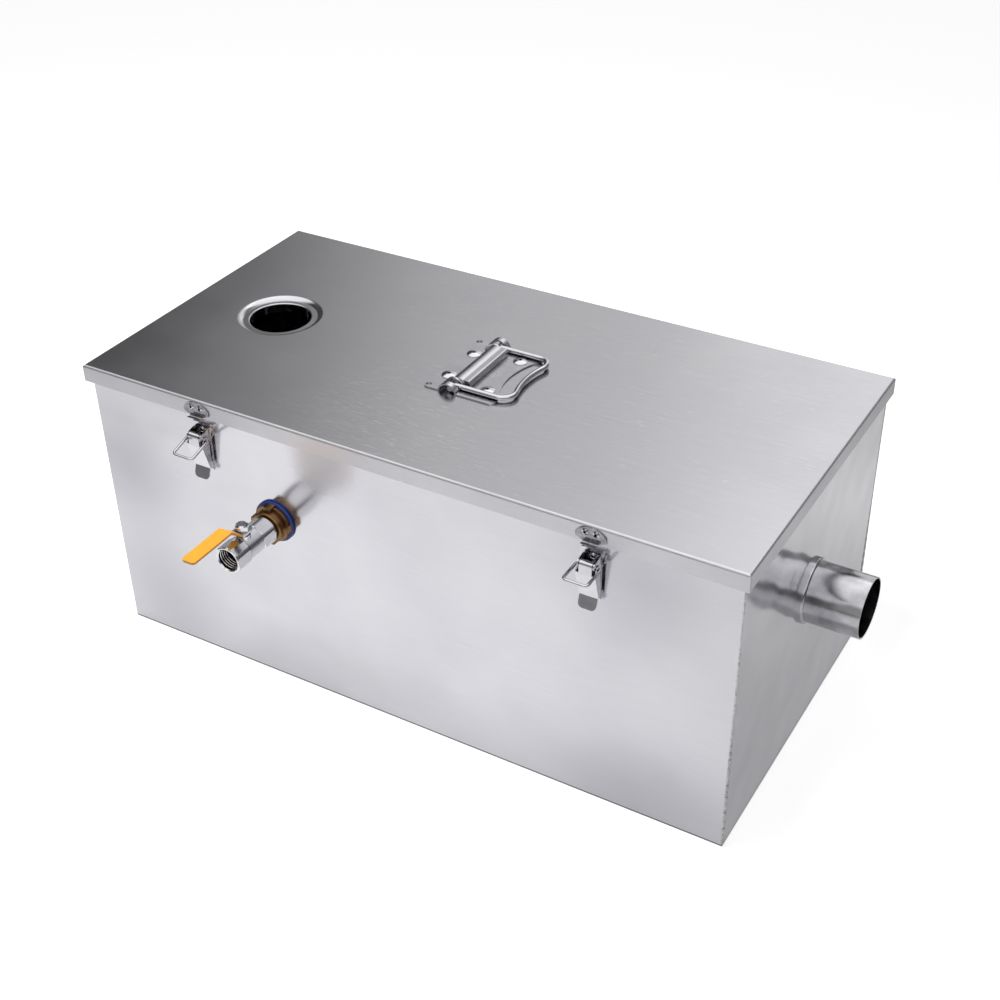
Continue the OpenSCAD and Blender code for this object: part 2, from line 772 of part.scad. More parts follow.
// Grip of the bail: a corner bend at each end and a waist between, cut where the bends run into each other
module bail_grip() {
  waist_x = corner_x + grip_half * 24 / 7;
  intersection() {
    for (s = [-1, 1]) wire_ring(corner_x, s * grip_half, corner_r);
    translate([corner_x, -grip_half, -bail_wire]) cube([bail_l, 2 * grip_half, 2 * bail_wire]);
    linear_extrude(4 * bail_wire, center = true) polygon([[corner_x, grip_half], [waist_x, 0],
      [corner_x, -grip_half], [corner_x, -2 * grip_half], [2 * waist_x, 0], [corner_x, 2 * grip_half]]);
  }
  intersection() {
    wire_ring(waist_x, 0, waist_r);
    linear_extrude(4 * bail_wire, center = true)
      polygon([[corner_x, grip_half], [waist_x, 0], [corner_x, -grip_half]]);
  }
}

module handle_bail() {
  end_y = plate_w / 2 - 1.5;
  color(bright) translate([handle_x, 0, lid_top + pivot_h]) {
    for (s = [0, 1]) mirror([0, s, 0]) {
      bent_wire([[0, end_y], [0, leg_y], [corner_x, leg_y]], [4], bail_wire / 2);
      translate([corner_x, grip_half, 0]) rotate_extrude(angle = 90)
        translate([corner_r, 0]) circle(d = bail_wire);
    }
    bail_grip();
  }
}

// Draw latches

// Latch frame on the tank wall: X runs along the wall, -Y out of it, Z is the trap's own height
module on_latch(i) {
  translate([latch_x[i], latch_side[i] * tank_w / 2, 0])
    rotate([0, 0, latch_side[i] < 0 ? 0 : 180]) children();
}

// The same frame on the lid's skirt
module on_catch(i) {
  translate([latch_x[i], latch_side[i] * lid_w / 2, 0])
    rotate([0, 0, latch_side[i] < 0 ? 0 : 180]) children();
}

// Section drawn as distance out from the wall and height, carried along the wall
module along_wall(w) {
  rotate([90, 0, -90]) linear_extrude(w, center = true) children();
}

// Rod along the wall
module wall_rod(out, z, r, w) {
  translate([0, -out, z]) rotate([0, 90, 0]) cylinder(r = r, h = w, center = true);
}

// Rivet frames face out of the wall
module catch_rivet_places() {
  for (s = [-1, 1])
    translate([s * catch_rivet_half, -latch_t, catch_rivet_z]) rotate([90, 0, 0]) children();
}

module catch_plate() {
  top_z = lid_top - lid_fold_r + 0.6;
  arch_r = catch_w * 0.62;
  curl_out = loop_out - skirt_gap - sheet;
  curl_r = loop_wire / 2 + 0.4;
  lip_h = 0.6;
  color(bright) difference() {
    union() {
      rotate([90, 0, 0]) linear_extrude(latch_t) intersection() {
        translate([0, top_z - arch_r]) circle(r = arch_r);
        polygon([[-hook_w / 2, hook_top + 0.4], [hook_w / 2, hook_top + 0.4],
          [hook_w / 2, skirt_z + 1], [catch_w / 2, skirt_z + 3.5], [catch_w / 2, top_z],
          [-catch_w / 2, top_z],
          [-catch_w / 2, skirt_z + 3.5], [-hook_w / 2, skirt_z + 1]]);
      }
      along_wall(hook_w) intersection() {
        translate([curl_out, hook_top + curl_r]) difference() {
          circle(r = curl_r + latch_t);
          circle(r = curl_r);
        }
        union() {
          translate([0, hook_top - latch_t]) square([curl_out, curl_r + latch_t]);
          translate([0, hook_top - latch_t]) square([2 * curl_out + latch_t, latch_t + lip_h]);
        }
      }
    }
    catch_rivet_places() cylinder(r = catch_shank + weld_gap, h = 8, center = true);
  }
}

module catch_rivets() {
  color(bright) for (i = [0 : 3]) on_catch(i) catch_rivet_places()
    rivet(2.7, 1.2, catch_shank, latch_t + sheet, 1.2);
}

// Rivet places of a latch base: one between the ears, one behind the lever
module base_rivet_places() {
  for (z = [pin_z + 2.2, pin_z - 20]) translate([0, 0, z]) rotate([90, 0, 0]) children();
}

// Base: a plate with two wings at its head, two ears folded out of it for the pin
module latch_base() {
  top = pin_z + 8;
  foot = pin_z - 37;
  wing_h = 11;
  color(bright) difference() {
    union() {
      rotate([90, 0, 0]) linear_extrude(latch_t) {
        translate([0, (top + foot) / 2]) round_rect([2 * ear_out, top - foot], 2);
        translate([0, top - wing_h / 2]) round_rect([latch_w + 4.6, wing_h], 3);
      }
      for (s = [-1, 1]) translate([s * (ear_out - latch_t / 2), 0, 0]) along_wall(latch_t) {
        translate([pin_out, pin_z]) circle(d = pin_d + 3);
        polygon([[0, pin_z - 8], [pin_out - 2, pin_z - pin_d / 2 - 1.2], [pin_out, pin_z - pin_d / 2 - 1.5],
          [pin_out, pin_z + pin_d / 2 + 1.5], [0, top - 3]]);
      }
    }
    wall_rod(pin_out, pin_z, pin_d / 2 + 0.02, 40);
    base_rivet_places() cylinder(r = base_rivet_r + weld_gap, h = 8, center = true);
  }
}

module latch_pin() {
  color(bright) wall_rod(pin_out, pin_z, pin_d / 2, 2 * ear_out);
}

module base_rivets() {
  color(bright) for (i = [0 : 3]) on_latch(i) base_rivet_places()
    translate([0, 0, latch_t]) rivet(2.6, 1.2, base_rivet_r, latch_t + sheet, 1.2);
}

// Lever: a channel whose tongue is rolled round the pin, with a turned-out finger tab
module latch_lever() {
  barrel_r = lever_front - pin_out;
  tongue_w = 2 * (ear_out - latch_t - 2 * side_play);
  lobe = loop_wire / 2 + 1.6;
  tab_h = 10;
  tab_out = 3.4;
  color(bright) difference() {
    union() {
      along_wall(tongue_w) {
        translate([pin_out, pin_z]) circle(r = barrel_r);
        translate([lever_front - latch_t, plate_top_z - 1]) square([latch_t, pin_z - plate_top_z + 1]);
      }
      along_wall(latch_w) polygon([[lever_front, plate_top_z], [lever_front - latch_t, plate_top_z],
        [lever_foot - latch_t, lever_end_z], [lever_foot, lever_end_z]]);
      for (s = [-1, 1]) translate([s * (latch_w / 2 - latch_t / 2), 0, 0]) along_wall(latch_t) {
        translate([loop_out, loop_z]) circle(r = lobe);
        polygon([[loop_out - lobe, loop_z], [loop_out, loop_z + lobe], [lever_front, plate_top_z],
          [lever_foot, lever_end_z], [lever_foot - 3, lever_end_z]]);
      }
      intersection() {
        along_wall(latch_w) polygon([[lever_foot, lever_end_z], [lever_foot - latch_t, lever_end_z],
          [lever_foot + tab_out - latch_t, lever_end_z - tab_h],
          [lever_foot + tab_out, lever_end_z - tab_h]]);
        translate([0, 0, lever_end_z]) rotate([90, 0, 0]) linear_extrude(40)
          round_rect([latch_w - 1.5, 2 * tab_h], 4);
      }
    }
    wall_rod(pin_out, pin_z, pin_d / 2 + pivot_fit, 40);
    wall_rod(loop_out, loop_z, loop_wire / 2 + pivot_fit, 40);
  }
}

// Loop, swung down from the level by hang
module latch_loop(hang) {
  path = [[cheek_in, 0], [loop_half, 0], [loop_half, loop_l], [-loop_half, loop_l], [-loop_half, 0],
    [-cheek_in, 0]];
  bends = [loop_wire * 0.6, 3.2, 3.2, loop_wire * 0.6];
  color(bright) translate([0, -loop_out, loop_z]) rotate([180 + hang, 0, 0])
    bent_wire(path, bends, loop_wire / 2);
}

tank_wrap();
tank_floor();
outlet_end();
outlet_pipe();
inlet_baffle();
outlet_baffle();
basket_ledges();
strainer_basket();
basket_strap();
nipple();
inner_washer();
wall_washer();
locknut();
valve_tail();
valve_body();
ball_seats();
gland_nut();
valve_ball();
valve_stem();
valve_lever();
lever_nut();
lid_pan();
inlet_collar();
lid_gasket();
handle_plate();
handle_rivets();
handle_bail();
on_catch(0) catch_plate();  // catch_front_left
on_catch(1) catch_plate();  // catch_front_right
on_catch(2) catch_plate();  // catch_back_left
on_catch(3) catch_plate();  // catch_back_right
catch_rivets();
on_latch(0) latch_base();  // latch_base_front_left
on_latch(1) latch_base();  // latch_base_front_right
on_latch(2) latch_base();  // latch_base_back_left
on_latch(3) latch_base();  // latch_base_back_right
on_latch(0) latch_pin();  // latch_pin_front_left
on_latch(1) latch_pin();  // latch_pin_front_right
on_latch(2) latch_pin();  // latch_pin_back_left
on_latch(3) latch_pin();  // latch_pin_back_right
on_latch(0) latch_lever();  // latch_lever_front_left
on_latch(1) latch_lever();  // latch_lever_front_right
on_latch(2) latch_lever();  // latch_lever_back_left
on_latch(3) latch_lever();  // latch_lever_back_right
on_latch(0) latch_loop(loop_hang);  // latch_loop_front_left
on_latch(1) latch_loop(0);  // latch_loop_front_right
on_latch(2) latch_loop(0);  // latch_loop_back_left
on_latch(3) latch_loop(0);  // latch_loop_back_right
base_rivets();
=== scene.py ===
"""Looks of a stainless steel grease trap: finishes, weld beads, thread and studio."""

import json
import math

import bmesh
import bpy
from bpy.props import FloatProperty, FloatVectorProperty, PointerProperty
from mathutils import Matrix, Vector


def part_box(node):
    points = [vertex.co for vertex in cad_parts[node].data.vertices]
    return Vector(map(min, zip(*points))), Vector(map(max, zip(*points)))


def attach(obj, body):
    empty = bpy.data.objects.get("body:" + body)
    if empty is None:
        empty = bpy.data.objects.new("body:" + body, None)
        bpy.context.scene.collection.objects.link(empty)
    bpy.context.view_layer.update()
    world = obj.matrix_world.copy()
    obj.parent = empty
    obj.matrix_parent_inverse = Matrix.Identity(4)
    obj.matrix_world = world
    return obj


bl_info = {
    "name": "Grease Trap",
    "version": (1, 0, 0),
    "blender": (4, 5, 0),
    "location": "3D View > Sidebar > Grease Trap",
    "description": "Dresses a stainless steel grease trap and sets its studio",
    "category": "Object",
}

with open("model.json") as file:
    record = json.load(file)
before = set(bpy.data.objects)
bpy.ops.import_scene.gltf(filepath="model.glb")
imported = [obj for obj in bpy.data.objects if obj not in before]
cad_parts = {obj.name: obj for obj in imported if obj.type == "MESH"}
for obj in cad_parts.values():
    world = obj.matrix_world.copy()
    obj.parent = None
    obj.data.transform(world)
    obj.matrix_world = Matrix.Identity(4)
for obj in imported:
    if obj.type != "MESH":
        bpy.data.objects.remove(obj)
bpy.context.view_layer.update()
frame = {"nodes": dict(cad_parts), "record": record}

MM = 0.001
CORNERS = ("front_left", "front_right", "back_left", "back_right")
WHITE = (1, 1, 1, 1)

# Sockets of a Mix node that mixes colours.
MIX_A, MIX_B, MIX_OUT = 6, 7, 2
# Nearly all of a noise lies between these two values.
NOISE = {"From Min": 0.3, "From Max": 0.7}

# Stainless sheet: size of the clouds in its film and of its slack waves.
FILM_CLOUD, SLACK_WAVE = 110 * MM, 60 * MM
# The skirt of the lid is handled more than its top, and is duller by this much.
SKIRT_DULL = 0.21
# Scuffs of the lid: radius of the scuffed part, how much denser they are in its middle, and how
# much of them shows.
SCUFF_REACH, SCUFF_DENSER, SCUFF_SHARE = 150 * MM, 0.1, 0.4
# The wall is drawn in round the drain from and to these distances, in shares of its waves.
PULL_FROM, PULL_TO, PULL_DEPTH = 30 * MM, 120 * MM, -2.6
# The wall is rubbed dull beside the drain, from and to these distances.
RUB_FROM, RUB_TO, RUB_DULL = 10 * MM, 45 * MM, 0.3
# Painted shade along the foot of the walls, where they meet the floor, is full at the first height
# and gone at the second.
FOOT_FULL, FOOT_GONE, FOOT_SHADE_SHARE = 0.9 * MM, 1.9 * MM, 0.8

# Own light of the floor: to the eye, to all else, and to metal, which sees it fade between the
# two distances from the trap.
FLOOR_TO_EYE, FLOOR_TO_ALL, FLOOR_TO_METAL = 0.72, 0.05, 0.22
FLOOR_NEAR, FLOOR_FAR = 0.55, 1.1
# Light round the studio by direction: axis, start and end of a step, and its light at both.
STUDIO = {
    "left": ("X", -0.61, -0.47, 0.07, 0.62),
    "middle": ("X", -0.37, -0.26, 0.0, 0.42),
    "right": ("X", -0.05, 0.35, 1.0, 0.2),
    "along": ("Y", -0.5, 0.2, 0.35, 1.0),
    "above": ("Z", 0.6, 0.85, 1.0, 0.25),
    "front_card": ("Y", -0.35, -0.05, 0.9, 0.0),
    "card_drop": ("X", -0.3, 0.0, 0.0, 0.3),
    "overhead_card": ("Z", 0.63, 0.72, 0.0, 1.2),
}
# Lower edge of the front card: height where it starts and is full, and its light at both.
CARD_EDGE = (0.5, 0.68, 0.08, 1.1)
SPAN = ("From Min", "From Max", "To Min", "To Max")


def linear(code):
    """Linear RGBA of an sRGB hex colour."""
    parts = [int(code[i : i + 2], 16) / 255 for i in (1, 3, 5)]
    return [p / 12.92 if p <= 0.04045 else ((p + 0.055) / 1.055) ** 2.4 for p in parts] + [1.0]


def colour(name, description, code):
    """A colour property that starts from an sRGB hex value."""
    return FloatVectorProperty(
        name=name,
        description=description,
        subtype="COLOR",
        size=4,
        min=0,
        max=1,
        default=linear(code),
    )


def length(name, description, millimetres):
    """A length property that starts from a size in millimetres."""
    return FloatProperty(
        name=name, description=description, unit="LENGTH", min=0, default=millimetres * MM
    )


class TrapFinishSettings(bpy.types.PropertyGroup):
    """Colours and grain of the trap's finishes."""

    sheet: colour("Sheet", "Light tone of the stainless sheet", "#d6d5d9")
    sheet_dull: colour("Sheet dull", "Dull tone in the grain of the sheet", "#c6c5ca")
    # Painted dark reflection for spots on the front wall.
    painted_reflection: colour("Painted reflection", "Film left where the front is gripped", "#a9a8ae")
    bright: colour("Bright", "Freshly bared metal of scuffs and weld crests", "#fafafc")
    polished: colour("Polished", "Polished stainless collar", "#d6d5d8")
    tube: colour("Tube", "Polished parts of the outlet tube", "#dfdee2")
    # Painted dark reflection, in clouds on the outlet tube.
    tube_dark_reflection: colour("Tube dark reflection", "Darker drawn skin left on the outlet tube", "#68676c")
    plated: colour("Plated", "Nickel plated latches and handle", "#d8d7da")
    # Painted dark reflections: the catches' two tones stand in for the dark, broken reflections on
    # them.
    catch_reflection: colour("Catch reflection", "Worn nickel of the catches", "#c4c3c8")
    catch_reflection_dark: colour("Catch reflection dark", "Dark parts of the worn nickel", "#3f3e43")
    # Painted shade for the corners of fittings, the foot of the walls and the valve's bore; also
    # the burnt pits of the raw weld beads.
    shade_and_burn: colour("Shade and burn", "Grime in the corners of the fittings", "#3b3a3c")
    chrome: colour("Chrome", "Chrome plated valve", "#dcdcde")
    brass: colour("Brass", "Bare brass lock nut", "#a9845a")
    brass_dark: colour("Brass tarnish", "Tarnish in the hollows of the brass", "#4a3527")
    rubber: colour("Rubber", "Black rubber of the lid's seal", "#222222")
    rubber_low: colour("Rubber shade", "Deeper tone in the black rubber", "#151515")
    washer: colour("Washer", "Blue rubber wall washer", "#2a4596")
    washer_low: colour("Washer shade", "Deeper tone in the blue rubber", "#1b2560")
    seat: colour("Seat", "White seats of the ball", "#f0f0ec")
    seat_low: colour("Seat shade", "Deeper tone in the white seats", "#e4e4de")
    grip: colour("Grip", "Vinyl sleeve of the valve lever", "#f2ae3a")
    grip_low: colour("Grip shade", "Deeper tone in the vinyl", "#e79f2a")
    grain_long: length("Grain length", "Length of one stroke of the sheet's grain", 45)
    # Coarser than the real strokes of about 0.1 mm, so that they show.
    grain_fine: length("Grain width", "Width of one stroke, as fine as a render can show", 0.9)
    scuff_long: length("Scuff length", "Length of the short scuffs on the lid", 9)


class TrapSeamSettings(bpy.types.PropertyGroup):
    """Weld beads and thread."""

    bead: length("Corner bead", "Radius of the bead up the two outlet corners", 0.9)
    pipe_bead: length("Pipe bead", "Radius of the bead round the outlet pipe", 0.8)
    ripple: length("Ripple", "Spacing of the ripples in a bead", 2.4)
    # Coarser than the real 1.8 mm, so that the turns still part at the distance of the camera.
    pitch: length("Pitch", "Pitch of the thread in the valve's mouth", 2.3)
    thread: length("Thread", "Half thickness of the thread's crest", 0.65)


class TrapStageSettings(bpy.types.PropertyGroup):
    """Camera, floor and lamp."""

    lens: FloatProperty(name="Lens", description="Focal length", unit="CAMERA", default=55.89)
    eye: FloatVectorProperty(
        name="Eye",
        description="Place of the camera",
        subtype="TRANSLATION",
        default=(0.5803, -0.9533, 0.9037),
    )
    floor: colour("Floor", "Colour of the floor", "#f4f4f5")
    key: FloatProperty(
        name="Key", description="Power of the overhead softbox", unit="POWER", default=8.6
    )


def put(tree, kind, settings=None, inputs=None):
    """Adds a node, sets its properties and fills its inputs with values or links."""
    node = tree.nodes.new(kind)
    for key, value in (settings or {}).items():
        setattr(node, key, value)
    for key, value in (inputs or {}).items():
        socket = node.inputs[key]
        if isinstance(value, bpy.types.NodeSocket):
            tree.links.new(value, socket)
        else:
            socket.default_value = value
    return node


def blank_material(name):
    """A new material with an empty node tree, and that tree."""
    material = bpy.data.materials.new(name)
    material.use_nodes = True
    material.node_tree.nodes.clear()
    return material, material.node_tree


def surface(tree, shader):
    """Joins a shader to the material's output."""
    put(tree, "ShaderNodeOutputMaterial", inputs={"Surface": shader})


def closeness(tree, place, spot, inner, reach, most):
    """Value that is at its most round a spot, and eases to nothing at its reach."""
    off = put(tree, "ShaderNodeVectorMath", {"operation": "DISTANCE"}, {0: place, 1: spot})
    return put(
        tree,
        "ShaderNodeMapRange",
        {"interpolation_type": "SMOOTHSTEP"},
        {
            "Value": off.outputs["Value"],
            "From Min": inner,
            "From Max": reach,
            "To Min": most,
            "To Max": 0.0,
        },
    ).outputs["Result"]


def drifting(tree, place, patch, detail, low, high):
    """Noise in patches of a size, and a colour that drifts with it between two tones."""
    drift = put(
        tree, "ShaderNodeTexNoise", inputs={"Vector": place, "Scale": 1 / patch, "Detail": detail}
    ).outputs["Fac"]
    base = put(
        tree, "ShaderNodeMix", {"data_type": "RGBA"}, {"Factor": drift, MIX_A: low, MIX_B: high}
    ).outputs[MIX_OUT]
    return drift, base


def sheet_tone(tree, finish, strokes, cloud, depth):
    """Colour of the sheet: light and dull by its strokes and its film."""
    tone = put(
        tree,
        "ShaderNodeMapRange",
        inputs={"Value": strokes, **NOISE, "To Min": -depth, "To Max": depth},
    )
    film = put(
        tree,
        "ShaderNodeMapRange",
        inputs={"Value": cloud, **NOISE, "To Min": 0.9, "To Max": 0.4},
    )
    share = put(
        tree,
        "ShaderNodeMath",
        {"operation": "ADD", "use_clamp": True},
        {0: tone.outputs["Result"], 1: film.outputs["Result"]},
    )
    return put(
        tree,
        "ShaderNodeMix",
        {"data_type": "RGBA"},
        {"Factor": share.outputs["Value"], MIX_A: finish.sheet_dull, MIX_B: finish.sheet},
    ).outputs[MIX_OUT]


def scuffs(tree, finish, place, spot, on_top):
    """Share of short scuffs, which are densest at a spot and lie on the top face only."""
    lie = put(
        tree,
        "ShaderNodeMapping",
        inputs={
            "Vector": place,
            "Scale": (1 / finish.scuff_long, 1 / finish.grain_fine, 1 / finish.scuff_long),
        },
    )
    marks = put(
        tree,
        "ShaderNodeTexNoise",
        inputs={"Vector": lie.outputs["Vector"], "Scale": 1.0, "Detail": 1.0},
    )
    near = closeness(tree, place, spot, 0.0, SCUFF_REACH, SCUFF_DENSER)
    sparse = put(
        tree, "ShaderNodeMath", {"operation": "ADD"}, {0: near, 1: marks.outputs["Fac"]}
    )
    most = put(tree, "ShaderNodeMath", {"operation": "MULTIPLY"}, {0: on_top, 1: SCUFF_SHARE})
    return put(
        tree,
        "ShaderNodeMapRange",
        inputs={
            "Value": sparse.outputs["Value"],
            "From Min": 0.68,
            "From Max": 0.8,
            "To Max": most.outputs["Value"],
        },
    ).outputs["Result"]


def brushed_sheet(
    name,
    finish,
    grain,
    roughness,
    depth,
    wave,
    scuffed=None,
    painted_reflection=(),
    pulled=None,
    rubbed=None,
):
    """Stainless sheet: faint strokes, a cloudy film, slack waves and painted shade along its foot.

    Where asked it is scuffed round a place on its top, darkened with painted dark reflections at
    given spots, pulled inwards round one place and rubbed dull round another.
    """
    material, tree = blank_material(name)
    place = put(tree, "ShaderNodeTexCoord").outputs["Object"]
    level = put(tree, "ShaderNodeSeparateXYZ", inputs={"Vector": place}).outputs["Z"]
    stroke = [1 / (finish.grain_long if axis == grain else finish.grain_fine) for axis in "XYZ"]
    lie = put(tree, "ShaderNodeMapping", inputs={"Vector": place, "Scale": stroke})
    strokes = put(
        tree,
        "ShaderNodeTexNoise",
        inputs={
            "Vector": lie.outputs["Vector"],
            "Scale": 1.0,
            "Detail": 3.0,
            "Roughness": 0.65,
        },
    ).outputs["Fac"]
    cloud = put(
        tree,
        "ShaderNodeTexNoise",
        inputs={"Vector": place, "Scale": 1 / FILM_CLOUD, "Detail": 3.0},
    ).outputs["Fac"]
    base = sheet_tone(tree, finish, strokes, cloud, depth)
    # Painted dark reflections at the given spots.
    veils = [(closeness(tree, place, *spot), finish.painted_reflection) for spot in painted_reflection]
    dull = 0.0
    if scuffed:
        dull = SKIRT_DULL
        on_top = put(
            tree,
            "ShaderNodeMath",
            {"operation": "GREATER_THAN"},
            {0: level, 1: scuffed[2] - 0.1 * MM},
        ).outputs["Value"]
        veils.append((scuffs(tree, finish, place, scuffed, on_top), finish.bright))
    # Painted shade along the foot.
    foot_shade = put(
        tree,
        "ShaderNodeMapRange",
        inputs={
            "Value": level,
            "From Min": FOOT_FULL,
            "From Max": FOOT_GONE,
            "To Min": FOOT_SHADE_SHARE,
            "To Max": 0.0,
        },
    )
    veils.append((foot_shade.outputs["Result"], finish.shade_and_burn))
    for share, tint in veils:
        base = put(
            tree,
            "ShaderNodeMix",
            {"data_type": "RGBA"},
            {"Factor": share, MIX_A: base, MIX_B: tint},
        ).outputs[MIX_OUT]
    rough = put(
        tree,
        "ShaderNodeMapRange",
        inputs={
            "Value": cloud,
            **NOISE,
            "To Min": roughness + dull - 0.03,
            "To Max": roughness + dull + 0.04,
        },
    ).outputs["Result"]
    if scuffed:
        rough = put(
            tree,
            "ShaderNodeMath",
            {"operation": "MULTIPLY_ADD"},
            {0: on_top, 1: -SKIRT_DULL, 2: rough},
        ).outputs["Value"]
    if rubbed:
        matt = closeness(tree, place, rubbed, RUB_FROM, RUB_TO, RUB_DULL)
        rough = put(
            tree, "ShaderNodeMath", {"operation": "ADD"}, {0: rough, 1: matt}
        ).outputs["Value"]
    height = put(
        tree,
        "ShaderNodeTexNoise",
        inputs={"Vector": place, "Scale": 1 / SLACK_WAVE, "Detail": 1.0},
    ).outputs["Fac"]
    if pulled:
        dish = closeness(tree, place, pulled, PULL_FROM, PULL_TO, PULL_DEPTH)
        height = put(
            tree, "ShaderNodeMath", {"operation": "ADD"}, {0: height, 1: dish}
        ).outputs["Value"]
    waves = put(tree, "ShaderNodeBump", inputs={"Height": height, "Distance": wave})
    relief = put(
        tree,
        "ShaderNodeBump",
        inputs={
            "Height": strokes,
            "Strength": 0.1 * depth,
            "Distance": 0.2 * MM,
            "Normal": waves.outputs["Normal"],
        },
    )
    shader = put(
        tree,
        "ShaderNodeBsdfPrincipled",
        inputs={
            "Base Color": base,
            "Metallic": 1.0,
            "Roughness": rough,
            "Normal": relief.outputs["Normal"],
        },
    )
    surface(tree, shader.outputs["BSDF"])
    return material


def worked_metal(name, tint, tint_low, patch, roughness, spread, relief, shade_and_burn=None, bore=None):
    """Metal with a worked surface: drifting tone and gloss, and a slight waviness.

    Painted shade darkens its corners where a shade colour is given, and the inside of a bore along
    Y.
    """
    material, tree = blank_material(name)
    place = put(tree, "ShaderNodeTexCoord").outputs["Object"]
    drift, base = drifting(tree, place, patch, 4.0, tint_low, tint)
    if shade_and_burn:
        # Painted shade: darker where ambient occlusion finds a corner.
        corner = put(tree, "ShaderNodeAmbientOcclusion", {"samples": 8}, {"Distance": 3 * MM})
        unshaded = put(
            tree,
            "ShaderNodeMapRange",
            inputs={"Value": corner.outputs["AO"], "From Min": 0.25, "From Max": 0.75},
        )
        base = put(
            tree,
            "ShaderNodeMix",
            {"data_type": "RGBA"},
            {"Factor": unshaded.outputs["Result"], MIX_A: shade_and_burn, MIX_B: base},
        ).outputs[MIX_OUT]
    # Painted shade: the inside of the bore takes the dark shade colour.
    if bore:
        mouth, radius = bore
        aside = put(
            tree, "ShaderNodeVectorMath", {"operation": "SUBTRACT"}, {0: place, 1: mouth}
        )
        flat = put(
            tree,
            "ShaderNodeVectorMath",
            {"operation": "MULTIPLY"},
            {0: aside.outputs["Vector"], 1: (1, 0, 1)},
        )
        off = put(
            tree, "ShaderNodeVectorMath", {"operation": "LENGTH"}, {0: flat.outputs["Vector"]}
        )
        bore_shade = put(
            tree,
            "ShaderNodeMath",
            {"operation": "LESS_THAN"},
            {0: off.outputs["Value"], 1: radius},
        )
        base = put(
            tree,
            "ShaderNodeMix",
            {"data_type": "RGBA"},
            {"Factor": bore_shade.outputs["Value"], MIX_A: base, MIX_B: shade_and_burn},
        ).outputs[MIX_OUT]
    rough = put(
        tree,
        "ShaderNodeMapRange",
        inputs={"Value": drift, **NOISE, "To Min": roughness, "To Max": roughness + spread},
    )
    wave = put(
        tree,
        "ShaderNodeBump",
        inputs={"Height": drift, "Strength": relief, "Distance": 0.3 * MM},
    )
    shader = put(
        tree,
        "ShaderNodeBsdfPrincipled",
        inputs={
            "Base Color": base,
            "Metallic": 1.0,
            "Roughness": rough.outputs["Result"],
            "Normal": wave.outputs["Normal"],
        },
    )
    surface(tree, shader.outputs["BSDF"])
    return material


def moulded(name, tint, tint_low, patch, roughness, relief):
    """Moulded rubber or plastic: one body colour that drifts a little, and a soft grain."""
    material, tree = blank_material(name)
    place = put(tree, "ShaderNodeTexCoord").outputs["Object"]
    drift, base = drifting(tree, place, patch, 5.0, tint_low, tint)
    rough = put(
        tree,
        "ShaderNodeMapRange",
        inputs={
            "Value": drift,
            **NOISE,
            "To Min": roughness - 0.06,
            "To Max": roughness + 0.06,
        },
    )
    grain = put(
        tree,
        "ShaderNodeBump",
        inputs={"Height": drift, "Strength": relief, "Distance": 0.2 * MM},
    )
    shader = put(
        tree,
        "ShaderNodeBsdfPrincipled",
        inputs={
            "Base Color": base,
            "Roughness": rough.outputs["Result"],
            "IOR": 1.5,
            "Normal": grain.outputs["Normal"],
        },
    )
    surface(tree, shader.outputs["BSDF"])
    return material


def dipped_lever(name, finish, sleeve_end):
    """Plated steel strip with a vinyl sleeve: bright metal at the stem, warm soft gloss beyond."""
    material, tree = blank_material(name)
    place = put(tree, "ShaderNodeTexCoord").outputs["Object"]
    depth = put(tree, "ShaderNodeSeparateXYZ", inputs={"Vector": place}).outputs["Y"]
    metal = put(
        tree, "ShaderNodeMath", {"operation": "GREATER_THAN"}, {0: depth, 1: sleeve_end}
    ).outputs["Value"]
    drift, vinyl = drifting(tree, place, 7 * MM, 5.0, finish.grip_low, finish.grip)
    base = put(
        tree,
        "ShaderNodeMix",
        {"data_type": "RGBA"},
        {"Factor": metal, MIX_A: vinyl, MIX_B: finish.chrome},
    )
    rough = put(
        tree, "ShaderNodeMapRange", inputs={"Value": metal, "To Min": 0.34, "To Max": 0.1}
    )
    grain = put(
        tree,
        "ShaderNodeBump",
        inputs={"Height": drift, "Strength": 0.08, "Distance": 0.2 * MM},
    )
    shader = put(
        tree,
        "ShaderNodeBsdfPrincipled",
        inputs={
            "Base Color": base.outputs[MIX_OUT],
            "Metallic": metal,
            "Roughness": rough.outputs["Result"],
            "Normal": grain.outputs["Normal"],
        },
    )
    surface(tree, shader.outputs["BSDF"])
    return material


def dress(material, *nodes):
    """Gives CAD nodes a material."""
    for name in nodes:
        mesh = frame["nodes"][name].data
        if not mesh.materials:
            mesh.materials.append(material)
        for i in range(len(mesh.materials)):
            mesh.materials[i] = material


def mount(name):
    """One of the record's mounts."""
    return next(m for m in frame["record"]["mounts"] if m["name"] == name)


